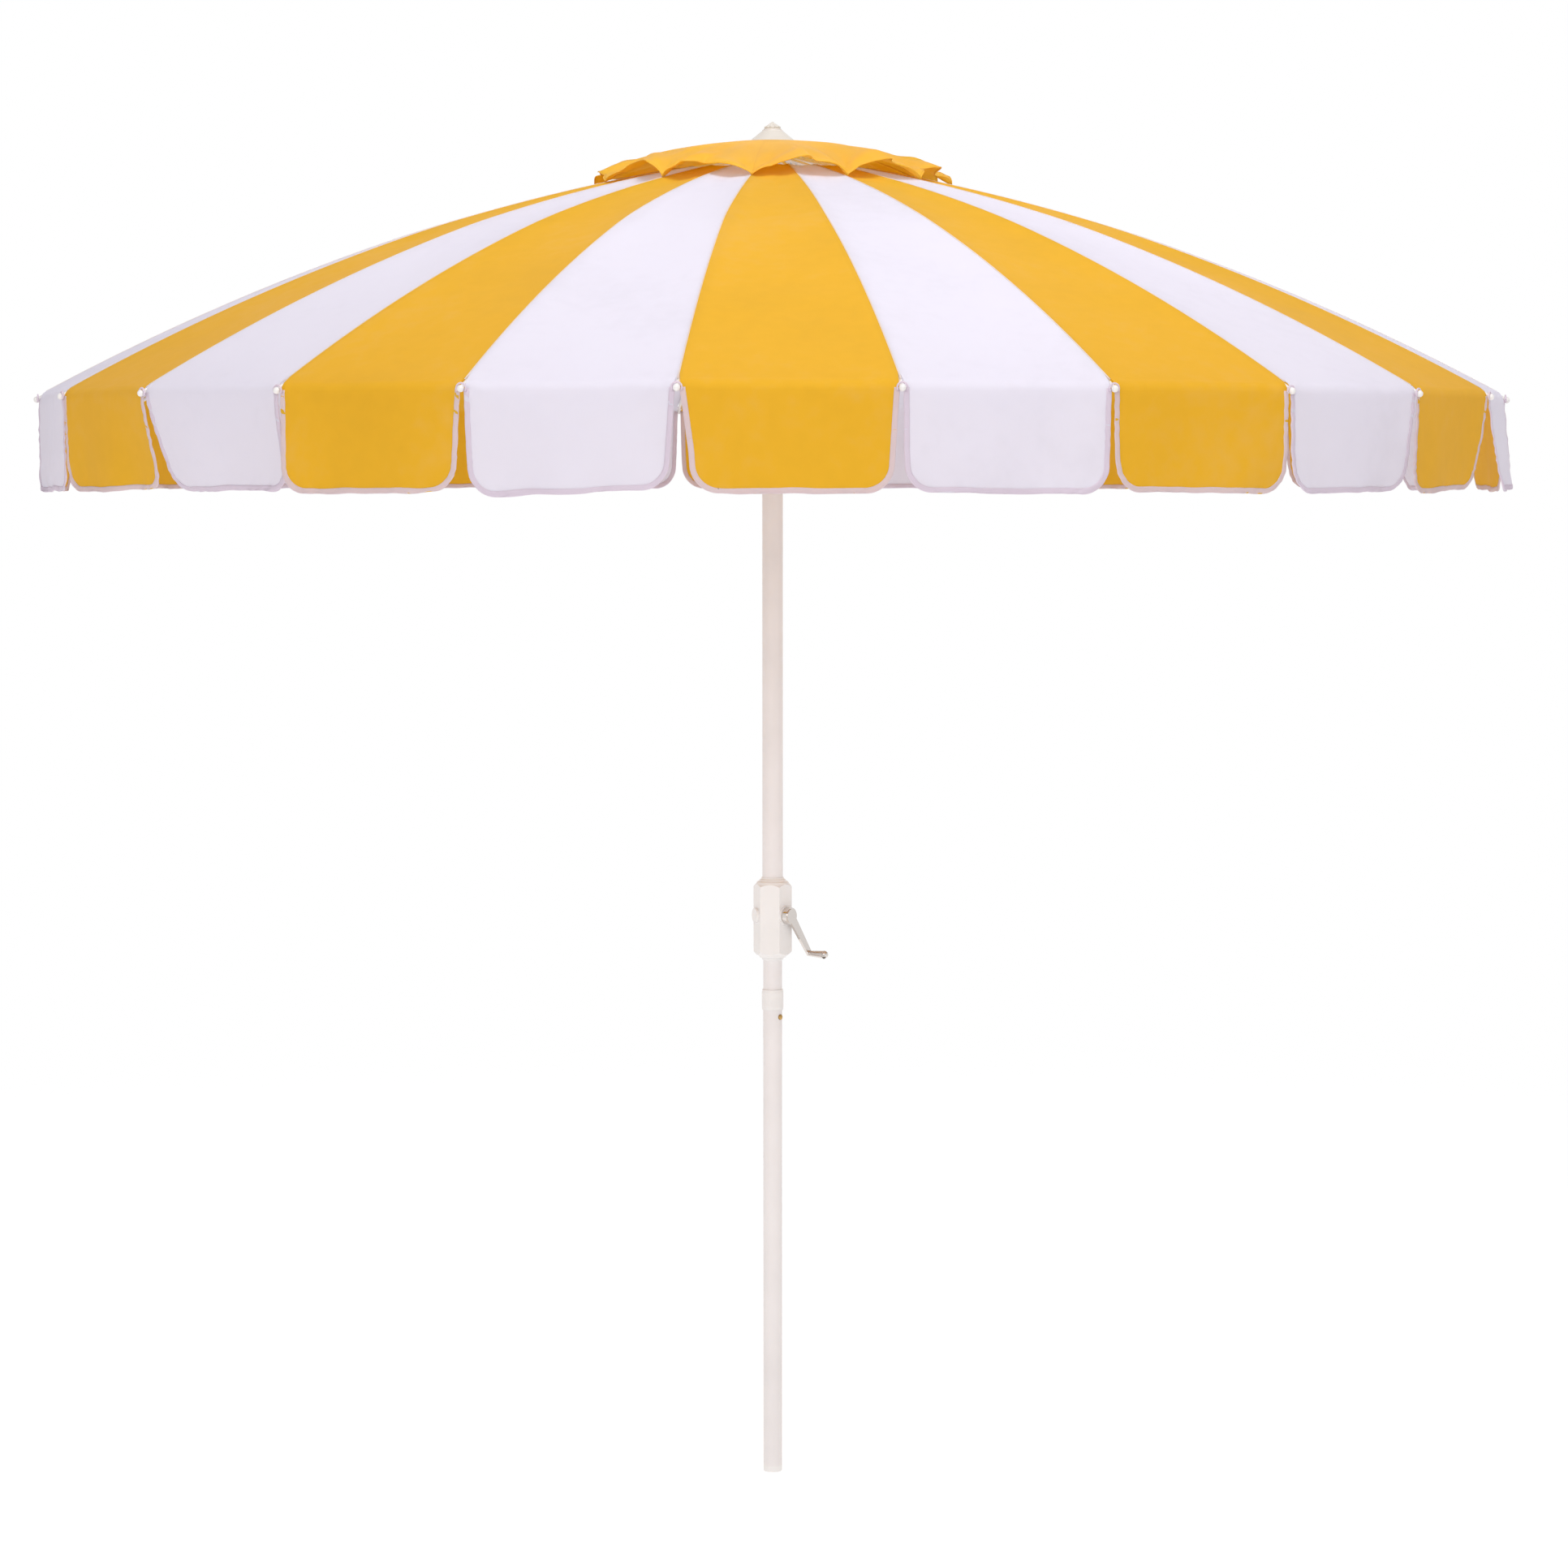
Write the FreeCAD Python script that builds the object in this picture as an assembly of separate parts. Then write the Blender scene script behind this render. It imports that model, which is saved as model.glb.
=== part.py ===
"""Crank parasol: a two-part pole, a crank, a folding frame of 24 ribs and a vented canopy.

Millimetres, +Z up. The origin is the middle of the pole's foot. The front is -Y.
Each rib and its stretcher are drawn in the XZ plane, with +X outward, and turned to their place.
The parasol is drawn open.
"""
import FreeCAD
import Part
import math
import os

V = FreeCAD.Vector
ORIGIN = V(0, 0, 0)
X_AXIS = V(1, 0, 0)
Y_AXIS = V(0, 1, 0)
Z_AXIS = V(0, 0, 1)

# ---- Driving sizes -------------------------------------------------------------------------
RIBS = 24
RIB_STEP = 360.0 / RIBS
FRONT_TURN = 0.6            # how far the front panel's middle is turned towards +X, degrees

# Seam line: one arc from the crown to the tip, at the outside of the fabric
SEAM_CROWN = V(46, 0, 2442)
SEAM_TIP = V(1330, 0, 2003)
SEAM_BOW = 55.0             # rise of the arc over its chord

FABRIC = 1.2                # thickness of the canopy's stand-in solid
FABRIC_GAP = 0.8            # clear space between the fabric and the ribs
VENT_HOLE_R = 185.0
FLAP_DROP = 171.0
FLAP_TAPER = 15.0           # a flap is this much narrower at each lower corner
FLAP_CORNER_R = 40.0
SLIT = 8.0                  # half of the gap between two flaps
TIP_NOTCH_R = 1321.0        # the fabric is cut away from here outward, over each tip ball
CAP_OUTER = V(329, 0, 2393)
CAP_SHOULDER = V(46, 0, 2466)
CAP_INNER_R = 22.0
CAP_BOW = 9.0

ROD_R = 3.0
PIVOT_R = 46.0              # crown and runner pivots lie on circles of this radius
JOINT_R = 654.0             # the rib bracket's middle
BRACKET_DROP = 14.0         # stretcher pin, below the rib's centre line
FOLD = 64.0                 # rib travel from open to closed, degrees

PIN_R = 1.5
PIN_GAP = 0.05
PIN_HALF = 4.8
BLADE = 5.0
BLADE_R = 5.0
SLOT = 5.6
SLOT_FLOOR_R = 38.0
HUB_R = 54.0

# Poles
LOWER_R = 17.5
LOWER_BORE_R = 15.6
LOWER_TOP = 887.0
SOCKET_START = 814.0        # the lower pole's top end is slightly thicker from here
SOCKET_R = 17.7
FOOT_HEIGHT = 12.0
COLLAR_R = 20.1
COLLAR_LOW = 869.0
COLLAR_HIGH = 906.7
SLEEVE_R = 15.5
SLEEVE_BORE_R = 14.0
SLEEVE_LOW = 767.0
CONNECTOR_TOP = 1020.0
UPPER_R = 19.0
UPPER_BORE_R = 17.0
UPPER_LOW = 1072.0
UPPER_TOP = 2490.0

# Crank housing and crank
HOUSING_LOW = 962.0
HOUSING_HIGH = 1116.0
HEX_R = 36.0
HEX_APOTHEM = HEX_R * math.cos(math.radians(30))
CHAMBER_R = 26.0
CRANK_Z = 1046.0
CRANK_AZIMUTH = 50.0        # from the front towards +X
CRANK_HANG = 36.5           # the arm hangs this far from straight down
CRANK_REACH = 92.0
SHAFT_R = 5.0
HUB_FACE = 47.0
KNOB_LENGTH = 39.0

# Snap button
BUTTON_Z = 856.0
BUTTON_AZIMUTH = 52.0
BUTTON_R = 4.9


# ---- Helpers -------------------------------------------------------------------------------
def tube(outer_r, bore_r, low, high):
    body = Part.makeCylinder(outer_r, high - low, V(0, 0, low))
    return body.cut(Part.makeCylinder(bore_r, high - low, V(0, 0, low)))


def lathe(points):
    """Turn a closed outline of (radius, height) points about Z."""
    corners = [V(r, 0, z) for r, z in points]
    face = Part.Face(Part.makePolygon(corners + corners[:1]))
    return face.revolve(ORIGIN, Z_AXIS, 360)


def rod(radius, start, end, y=0.0, z=0.0):
    """Cylinder along X."""
    return Part.makeCylinder(radius, end - start, V(start, y, z), X_AXIS)


def cross_pin(radius, half, x=0.0, z=0.0):
    """Cylinder along Y, centred on the XZ plane."""
    return Part.makeCylinder(radius, 2 * half, V(x, -half, z), Y_AXIS)


def block(x0, x1, y0, y1, z0, z1):
    return Part.makeBox(x1 - x0, y1 - y0, z1 - z0, V(x0, y0, z0))


def fused(first, *others):
    for other in others:
        first = first.fuse(other)
    return first.removeSplitter()


def to_azimuth(shape, azimuth):
    """Turn a shape drawn along +X to an azimuth, counted from -Y towards +X."""
    return shape.rotated(ORIGIN, Z_AXIS, azimuth - 90)


def rib_azimuth(index):
    return FRONT_TURN + RIB_STEP / 2 + RIB_STEP * index


def placed(shape, point, slope):
    """Tilt a shape drawn along +X down by slope, and move its origin to the point."""
    shape = shape.rotated(ORIGIN, Y_AXIS, slope)
    shape.translate(point)
    return shape


def save(name, *solids):
    shape = solids[0] if len(solids) == 1 else Part.makeCompound(list(solids))
    if not shape.isValid():
        raise ValueError(name + " is not a valid shape")
    shape.exportStep("parts/" + name + ".step")
    print(name, len(shape.Solids), "solids", round(shape.Volume / 1000, 1), "cm3")


# ---- The seam arc and the linkage ----------------------------------------------------------
def arc_through(start, end, bow):
    """Centre and radius of the arc that rises by bow over the chord, in the XZ plane."""
    chord = end - start
    half = chord.Length / 2
    radius = (half * half + bow * bow) / (2 * bow)
    outward = V(-chord.z, 0, chord.x).normalize()
    middle = (start + end) * 0.5
    return middle - outward * (radius - bow), radius


SEAM_CENTRE, SEAM_RADIUS = arc_through(SEAM_CROWN, SEAM_TIP, SEAM_BOW)
RIB_RADIUS = SEAM_RADIUS - FABRIC - FABRIC_GAP - ROD_R


def arc_angle(r, radius):
    """Angle from the vertical of the point of an arc at distance r from the pole."""
    return math.degrees(math.asin((r - SEAM_CENTRE.x) / radius))


def arc_point(angle, radius):
    a = math.radians(angle)
    return SEAM_CENTRE + V(radius * math.sin(a), 0, radius * math.cos(a))


PIVOT_ANGLE = arc_angle(PIVOT_R, RIB_RADIUS)
BRACKET_ANGLE = arc_angle(JOINT_R, RIB_RADIUS)
CROWN_PIVOT = arc_point(PIVOT_ANGLE, RIB_RADIUS)
BRACKET_POINT = arc_point(BRACKET_ANGLE, RIB_RADIUS)
JOINT_PIVOT = arc_point(BRACKET_ANGLE, RIB_RADIUS - BRACKET_DROP)
LINK = (JOINT_PIVOT - CROWN_PIVOT).Length
OPEN_SLOPE = math.degrees(math.asin((CROWN_PIVOT.z - JOINT_PIVOT.z) / LINK))
RUNNER_PIVOT = V(PIVOT_R, 0, 2 * JOINT_PIVOT.z - CROWN_PIVOT.z)


# ---- Ribs and stretchers -------------------------------------------------------------------
ROOT_LENGTH = 44.0
BRACKET_HALF = 17.0
BUTT_GAP = 0.05
BALL_R = 5.75
BALL_CENTRE_R = 1335.0
NECK_LENGTH = 14.0


def arc_degrees(length):
    return math.degrees(length / RIB_RADIUS)


def bowed_rod(start_angle, end_angle):
    """Round rod along the rib's centre line, between two angles of its arc."""
    a = math.radians(start_angle)
    centre = arc_point(start_angle, RIB_RADIUS)
    tangent = V(math.cos(a), 0, -math.sin(a))
    circle = Part.makeCircle(ROD_R, centre, tangent)
    face = Part.Face(Part.Wire(circle))
    return face.revolve(SEAM_CENTRE, Y_AXIS, end_angle - start_angle)


def hinge_blade(length):
    """Flat end that turns in a slot, with a round nose about its pin."""
    nose = cross_pin(BLADE_R, BLADE / 2)
    return nose.fuse(block(0, length, -BLADE / 2, BLADE / 2, -BLADE_R, BLADE_R))


def rib_root():
    """Blade, cross-pin and ferrule at the crown end."""
    ferrule = rod(4.5, 22, ROOT_LENGTH)
    return fused(hinge_blade(26), cross_pin(PIN_R, PIN_HALF), ferrule)


def rib_bracket():
    """Block on the rib with two ears and the stretcher's pin."""
    half = BLADE_R
    parts = [block(-BRACKET_HALF, BRACKET_HALF, -half, half, -8, ROD_R)]
    for side in (-1, 1):
        inner = side * SLOT / 2
        low, high = sorted((inner, side * half))
        parts.append(block(-6, 6, low, high, -BRACKET_DROP, -7))
        round_end = Part.makeCylinder(6, high - low, V(0, low, -BRACKET_DROP), Y_AXIS)
        parts.append(round_end)
    parts.append(cross_pin(PIN_R, half, z=-BRACKET_DROP))
    return fused(*parts)


def rib_tip():
    """Ball and neck."""
    neck = rod(3.2, -NECK_LENGTH, 0)
    return fused(neck, Part.makeSphere(BALL_R))


def rib_solids():
    root_end = PIVOT_ANGLE + arc_degrees(ROOT_LENGTH + BUTT_GAP)
    bracket_gap = arc_degrees(BRACKET_HALF + BUTT_GAP)
    ball_angle = arc_angle(BALL_CENTRE_R, RIB_RADIUS)
    rod_end = ball_angle - arc_degrees(NECK_LENGTH + BUTT_GAP)
    return [
        placed(rib_root(), CROWN_PIVOT, PIVOT_ANGLE),
        bowed_rod(root_end, BRACKET_ANGLE - bracket_gap),
        placed(rib_bracket(), BRACKET_POINT, BRACKET_ANGLE),
        bowed_rod(BRACKET_ANGLE + bracket_gap, rod_end),
        placed(rib_tip(), arc_point(ball_angle, RIB_RADIUS), ball_angle),
    ]


def stretcher_solids():
    """Drawn from the runner pin outward, then tilted up to the rib's bracket."""
    blade = 26.0
    ferrule_end = 38.0
    ferrule_r = 4.0
    inner = fused(hinge_blade(blade), cross_pin(PIN_R, PIN_HALF), rod(ferrule_r, 20, ferrule_end))
    outer = fused(hinge_blade(blade), rod(ferrule_r, 20, ferrule_end))
    outer = outer.cut(cross_pin(PIN_R + PIN_GAP, BLADE))
    outer = outer.rotated(ORIGIN, Z_AXIS, 180)
    outer.translate(V(LINK, 0, 0))
    middle = rod(ROD_R, ferrule_end, LINK - ferrule_end)
    return [placed(s, RUNNER_PIVOT, -OPEN_SLOPE) for s in (inner, middle, outer)]


def make_ribs():
    rib = rib_solids()
    stretcher = stretcher_solids()
    for index in range(RIBS):
        azimuth = rib_azimuth(index)
        save("rib_%02d" % (index + 1), *[to_azimuth(s, azimuth) for s in rib])
        save("stretcher_%02d" % (index + 1), *[to_azimuth(s, azimuth) for s in stretcher])


# ---- Crown hub and runner ------------------------------------------------------------------
def slotted_disc(bore_r, pivot_z, half_height):
    """Disc with a slot and two blind pin holes for each blade."""
    disc = tube(HUB_R, bore_r, pivot_z - half_height, pivot_z + half_height)
    reach = HUB_R + 2
    slot = block(SLOT_FLOOR_R, reach, -SLOT / 2, SLOT / 2, pivot_z - 50, pivot_z + 50)
    hole = cross_pin(PIN_R + PIN_GAP, PIN_HALF + 0.2, x=PIVOT_R, z=pivot_z)
    cutter = slot.fuse(hole)
    cutters = [to_azimuth(cutter, rib_azimuth(index)) for index in range(RIBS)]
    return disc.cut(Part.makeCompound(cutters))


def make_crown_hub():
    pivot_z = CROWN_PIVOT.z
    bore = UPPER_R + 0.05
    skirt = tube(26, bore, pivot_z - 40, pivot_z - 14)
    top = tube(28, bore, pivot_z + 14, CAP_SHOULDER.z - FABRIC - 0.5)
    hub = fused(slotted_disc(bore, pivot_z, 14), skirt, top)

    pulley_r = 12.0
    groove_r = 9.0
    axle_r = 2.0
    wheel = lathe([(axle_r + PIN_GAP, -4), (pulley_r, -4), (pulley_r, -2.5), (groove_r, 0),
                   (pulley_r, 2.5), (pulley_r, 4), (axle_r + PIN_GAP, 4)])
    wheel = wheel.rotated(ORIGIN, X_AXIS, 90)
    axle = cross_pin(axle_r, UPPER_BORE_R - 0.8)
    for solid in (wheel, axle):
        solid.translate(V(0, 0, pivot_z))
    save("crown_hub", hub, wheel, axle)


def make_runner():
    pivot_z = RUNNER_PIVOT.z
    bore = UPPER_R + 0.35
    skirt = tube(25, bore, pivot_z - 34, pivot_z - 13)
    neck = tube(24, bore, pivot_z + 13, pivot_z + 26)
    save("runner", fused(slotted_disc(bore, pivot_z, 13), skirt, neck))


# ---- Finial --------------------------------------------------------------------------------
def make_finial():
    """Rounded nut over a fluted skirt, with a plug that goes into the pole."""
    skirt_r = 45.0
    base = CAP_SHOULDER.z + 0.3
    profile = [(0, base + 2), (skirt_r - 3, base), (skirt_r, base), (skirt_r, base + 1.5),
               (33, base + 11), (22, base + 20), (16.5, base + 24.5), (16.5, base + 26),
               (14, base + 27), (15.5, base + 29), (15.5, base + 33), (12.5, base + 38.5),
               (6, base + 41), (0, base + 41)]
    cap = lathe(profile)
    flute_r = 9.0
    for index in range(12):
        flute = Part.makeCylinder(flute_r, 60, V(52, 0, base + 4.5), V(-37, 0, 27.5))
        flute.translate(V(0, 0, 7.5))
        cap = cap.cut(flute.rotated(ORIGIN, Z_AXIS, index * 30))
    low = base - 1
    cap = cap.cut(Part.makeCylinder(UPPER_R + 0.3, UPPER_TOP + 0.3 - low, V(0, 0, low)))
    plug = Part.makeCylinder(UPPER_BORE_R - 0.05, 24, V(0, 0, UPPER_TOP - 24))
    head = Part.makeCylinder(12, 2, V(0, 0, UPPER_TOP))
    save("finial", fused(cap, plug, head))


# ---- Poles ---------------------------------------------------------------------------------
def button_hole(radius, reach):
    hole = rod(radius, 5, reach, z=BUTTON_Z)
    return to_azimuth(hole, BUTTON_AZIMUTH)


def make_lower_pole():
    outline = [(LOWER_BORE_R, FOOT_HEIGHT), (LOWER_R, FOOT_HEIGHT), (LOWER_R, SOCKET_START),
               (SOCKET_R, SOCKET_START + 3), (SOCKET_R, LOWER_TOP), (LOWER_BORE_R, LOWER_TOP)]
    save("lower_pole", lathe(outline).cut(button_hole(BUTTON_R + 0.3, 30)))


def make_lower_pole_fittings():
    """Foot plug, and the collar around the lower pole's mouth."""
    head = Part.makeCylinder(LOWER_R, FOOT_HEIGHT)
    head = head.makeFillet(2.5, [e for e in head.Edges if e.BoundBox.ZMax < 0.1])
    plug = Part.makeCylinder(LOWER_BORE_R, 30, V(0, 0, FOOT_HEIGHT))
    foot = fused(head, plug)

    collar = tube(COLLAR_R - 0.5, SOCKET_R, COLLAR_LOW, COLLAR_HIGH)
    belly = lathe([(SOCKET_R, COLLAR_LOW + 3), (COLLAR_R - 0.5, COLLAR_LOW + 1.5),
                   (COLLAR_R, COLLAR_LOW + 5), (COLLAR_R, COLLAR_HIGH - 5),
                   (COLLAR_R - 0.5, COLLAR_HIGH - 1.5), (SOCKET_R, COLLAR_HIGH - 3)])
    collar = fused(collar, belly)
    save("lower_pole_fittings", foot, collar)


def make_connector_tube():
    """Outer tube from the collar up into the housing, and the sleeve inside it."""
    outer = tube(LOWER_R, SLEEVE_R, LOWER_TOP, CONNECTOR_TOP)
    sleeve = tube(SLEEVE_R, SLEEVE_BORE_R, SLEEVE_LOW, CONNECTOR_TOP - 46)
    save("connector_tube", outer, sleeve.cut(button_hole(BUTTON_R + 0.2, 30)))


def make_upper_pole():
    """Tube with a slot where the lift cord leaves it."""
    pole = tube(UPPER_R, UPPER_BORE_R, UPPER_LOW, UPPER_TOP)
    slot = block(-4, 4, UPPER_BORE_R - 3, UPPER_R + 3, CROWN_PIVOT.z - 80, CROWN_PIVOT.z - 50)
    save("upper_pole", pole.cut(slot))


def make_snap_button():
    """Domed button on a leaf spring with a short return leg, pointing along +X."""
    face = 21.3
    dome_r = 7.5
    stem = rod(BUTTON_R, 11, face)
    dome = Part.makeSphere(dome_r, V(face - dome_r, 0, 0))
    button = stem.common(dome.fuse(rod(BUTTON_R + 1, 10, face - 3)))
    flange = rod(6.0, 11, 12)
    leaf_half = 4.0
    leaf = 0.8
    turn_z = -34.0
    outer_x = 10.2
    return_x = -8.8
    front = block(outer_x, outer_x + leaf, -leaf_half, leaf_half, turn_z, 5)
    turn = block(return_x, outer_x + leaf, -leaf_half, leaf_half, turn_z - leaf, turn_z)
    back = block(return_x, return_x + leaf, -leaf_half, leaf_half, turn_z - leaf, turn_z + 26)
    clip = fused(button, flange, front, turn, back)
    clip.translate(V(0, 0, BUTTON_Z))
    save("snap_button", to_azimuth(clip, BUTTON_AZIMUTH))


# ---- Crank ---------------------------------------------------------------------------------
def make_crank_housing():
    corners = []
    for index in range(7):
        a = math.radians(CRANK_AZIMUTH - 90 + 30 + 60 * index)
        corners.append(V(HEX_R * math.cos(a), HEX_R * math.sin(a), HOUSING_LOW))
    prism = Part.Face(Part.makePolygon(corners)).extrude(V(0, 0, HOUSING_HIGH - HOUSING_LOW))

    low = HOUSING_LOW
    high = HOUSING_HIGH
    ends = lathe([(0, low), (18.5, low), (20, low + 1.5), (20, low + 4), (24.5, low + 5),
                  (25.5, low + 7), (30, low + 10), (HEX_R + 1, low + 17),
                  (HEX_R + 1, high - 18), (31, high - 12), (29.5, high - 9), (25, high - 6),
                  (24, high - 4), (21.5, high - 2.5), (20.5, high), (0, high)])
    body = prism.common(ends)
    body = body.cut(Part.makeCylinder(UPPER_R, high - UPPER_LOW, V(0, 0, UPPER_LOW)))
    body = body.cut(Part.makeCylinder(LOWER_R, CONNECTOR_TOP - low, V(0, 0, low)))
    chamber_height = UPPER_LOW - CONNECTOR_TOP
    body = body.cut(Part.makeCylinder(CHAMBER_R, chamber_height, V(0, 0, CONNECTOR_TOP)))
    shaft_hole = to_azimuth(rod(SHAFT_R + PIN_GAP, 5, 60, z=CRANK_Z), CRANK_AZIMUTH)
    boss = to_azimuth(rod(13.5, HEX_APOTHEM, HEX_APOTHEM + 5, z=CRANK_Z), CRANK_AZIMUTH - 120)
    body = body.cut(shaft_hole).fuse(boss).removeSplitter()

    bush = rod(18, HEX_APOTHEM, HEX_APOTHEM + 3, z=CRANK_Z)
    bush = to_azimuth(bush, CRANK_AZIMUTH).cut(shaft_hole)
    save("crank_housing", body, bush)


def tapered_arm(length, root_half, end_half, low, high):
    """Arm along +Y between two round ends, low..high along X."""
    root = Part.makeCylinder(root_half, high - low, V(low, 0, 0), X_AXIS)
    end = Part.makeCylinder(end_half, high - low, V(low, length, 0), X_AXIS)
    outline = [V(low, 0, -root_half), V(low, length, -end_half),
               V(low, length, end_half), V(low, 0, root_half)]
    web = Part.Face(Part.makePolygon(outline + outline[:1])).extrude(V(high - low, 0, 0))
    return fused(root, web, end)


def make_crank():
    """Handle, shaft and spool turn together; the knob turns on the handle's stud."""
    bush_face = HEX_APOTHEM + 3
    arm_low = HUB_FACE - 6.5
    arm_high = HUB_FACE - 1.0
    stud_r = 3.0
    disc = rod(15.75, bush_face + 0.6, HUB_FACE - 2)
    crown = rod(13.5, HUB_FACE - 2, HUB_FACE)
    arm = tapered_arm(CRANK_REACH, 8.5, 5.0, arm_low, arm_high)
    stud = rod(stud_r, arm_high - 1, arm_high + KNOB_LENGTH - 5, y=CRANK_REACH)
    shaft = rod(SHAFT_R, -CHAMBER_R + 3, bush_face + 1)
    handle = fused(disc, crown, arm, stud, shaft)

    drum = rod(11, -11, 11)
    flanges = [rod(16, -13, -11), rod(16, 11, 13)]
    bore = rod(SHAFT_R, -20, 20)
    spool = fused(drum, *flanges).cut(bore)

    knob = rod(5.5, arm_high + 0.3, arm_high + 3, y=CRANK_REACH)
    grip = Part.makeCone(5.5, 7.5, KNOB_LENGTH - 9, V(arm_high + 3, CRANK_REACH, 0), X_AXIS)
    round_end = Part.makeSphere(7.5, V(arm_high + KNOB_LENGTH - 6, CRANK_REACH, 0))
    knob = fused(knob, grip, round_end)
    knob = knob.common(rod(8, 0, arm_high + KNOB_LENGTH, y=CRANK_REACH))
    knob = knob.cut(rod(stud_r + PIN_GAP, 0, arm_high + KNOB_LENGTH - 4.5, y=CRANK_REACH))

    # Y points sideways and Z up, so a quarter turn and the hang bring the arm down
    for name, solids in (("crank_handle", [handle, spool]), ("crank_knob", [knob])):
        turned = []
        for solid in solids:
            solid = solid.rotated(ORIGIN, X_AXIS, -90 + CRANK_HANG)
            solid.translate(V(0, 0, CRANK_Z))
            turned.append(to_azimuth(solid, CRANK_AZIMUTH))
        save(name, *turned)


# ---- Canopy --------------------------------------------------------------------------------
HALF_PANEL = math.radians(RIB_STEP / 2)


def panel_profile():
    """Side outline of one panel: its seam arc pressed in to the panel's middle."""
    def on_arc(r, radius):
        point = arc_point(arc_angle(r, radius), radius)
        return V(point.x * math.cos(HALF_PANEL), 0, point.z)

    middle_r = (VENT_HOLE_R + SEAM_TIP.x) / 2
    inner = SEAM_RADIUS - FABRIC
    top = [on_arc(r, SEAM_RADIUS) for r in (VENT_HOLE_R, middle_r, SEAM_TIP.x)]
    under = [on_arc(r, inner) for r in (SEAM_TIP.x, middle_r, VENT_HOLE_R)]
    edges = [
        Part.Arc(*top).toShape(),
        Part.LineSegment(top[2], under[0]).toShape(),
        Part.Arc(*under).toShape(),
        Part.LineSegment(under[2], top[0]).toShape(),
    ]
    return Part.Face(Part.Wire(edges))


def flap():
    """Hanging flap in the YZ plane, with two rounded lower corners."""
    plane = SEAM_TIP.x * math.cos(HALF_PANEL)
    top_half = SEAM_TIP.x * math.sin(HALF_PANEL) - SLIT
    low_half = top_half - FLAP_TAPER
    hem = SEAM_TIP.z - FLAP_DROP
    corners = [(-top_half, SEAM_TIP.z), (-low_half, hem), (low_half, hem), (top_half, SEAM_TIP.z)]
    points = [V(plane, y, z) for y, z in corners]
    plate = Part.Face(Part.makePolygon(points + points[:1])).extrude(V(-FABRIC, 0, 0))
    lower = [e for e in plate.Edges
             if abs(e.BoundBox.ZMax - hem) < 0.1 and e.BoundBox.XLength > FABRIC / 2]
    return plate.makeFillet(FLAP_CORNER_R, lower)


def gore():
    """One panel and its flap."""
    half = 200.0
    reach = SEAM_TIP.x + 100
    roof = panel_profile()
    roof.translate(V(0, -half, 0))
    roof = roof.extrude(V(0, 2 * half, 0))
    side = reach * math.tan(HALF_PANEL)
    corners = [V(0, 0, 0), V(reach, -side, 0), V(reach, side, 0), V(0, 0, 0)]
    wedge = Part.Face(Part.makePolygon(corners)).extrude(V(0, 0, SEAM_CROWN.z + 100))
    roof = roof.common(wedge)
    notch = block(TIP_NOTCH_R, reach, -SLIT, SLIT, 0, SEAM_CROWN.z)
    for side_turn in (-RIB_STEP / 2, RIB_STEP / 2):
        roof = roof.cut(notch.rotated(ORIGIN, Z_AXIS, side_turn))
    return fused(roof, flap())


def vent_cap():
    """Shell over the vent hole, clamped under the finial."""
    centre, radius = arc_through(CAP_SHOULDER, CAP_OUTER, CAP_BOW)
    middle = (CAP_SHOULDER + CAP_OUTER) * 0.5
    outward = (middle - centre).normalize()
    crest = centre + outward * radius
    down = V(0, 0, -FABRIC)
    inner = V(CAP_INNER_R, 0, CAP_SHOULDER.z)
    edges = [
        Part.LineSegment(inner, CAP_SHOULDER).toShape(),
        Part.Arc(CAP_SHOULDER, crest, CAP_OUTER).toShape(),
        Part.LineSegment(CAP_OUTER, CAP_OUTER + down).toShape(),
        Part.Arc(CAP_OUTER + down, crest + down, CAP_SHOULDER + down).toShape(),
        Part.LineSegment(CAP_SHOULDER + down, inner + down).toShape(),
        Part.LineSegment(inner + down, inner).toShape(),
    ]
    return Part.Face(Part.Wire(edges)).revolve(ORIGIN, Z_AXIS, 360)


def make_canopy():
    first = gore()
    panels = [to_azimuth(first, FRONT_TURN + RIB_STEP * index) for index in range(RIBS)]
    save("canopy", *panels, vent_cap())


# ---- Build ---------------------------------------------------------------------------------
os.makedirs("parts", exist_ok=True)
make_lower_pole()
make_lower_pole_fittings()
make_connector_tube()
make_snap_button()
make_crank_housing()
make_crank()
make_upper_pole()
make_crown_hub()
make_finial()
make_runner()
make_canopy()
make_ribs()

print("crown pivot", round(CROWN_PIVOT.x, 4), round(CROWN_PIVOT.z, 4))
print("bracket pivot", round(JOINT_PIVOT.x, 4), round(JOINT_PIVOT.z, 4))
print("runner pivot", round(RUNNER_PIVOT.x, 4), round(RUNNER_PIVOT.z, 4))
print("link", round(LINK, 4), "open slope", round(OPEN_SLOPE, 4))
closed = math.radians(OPEN_SLOPE + FOLD)
print("runner pivot, closed", round(CROWN_PIVOT.z - 2 * LINK * math.sin(closed), 2))
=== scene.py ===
"""Crank parasol, yellow and white: cloth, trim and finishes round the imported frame. Metres, +Z up."""

import bpy
import math
import random
from collections import namedtuple
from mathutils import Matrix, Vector, noise


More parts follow.
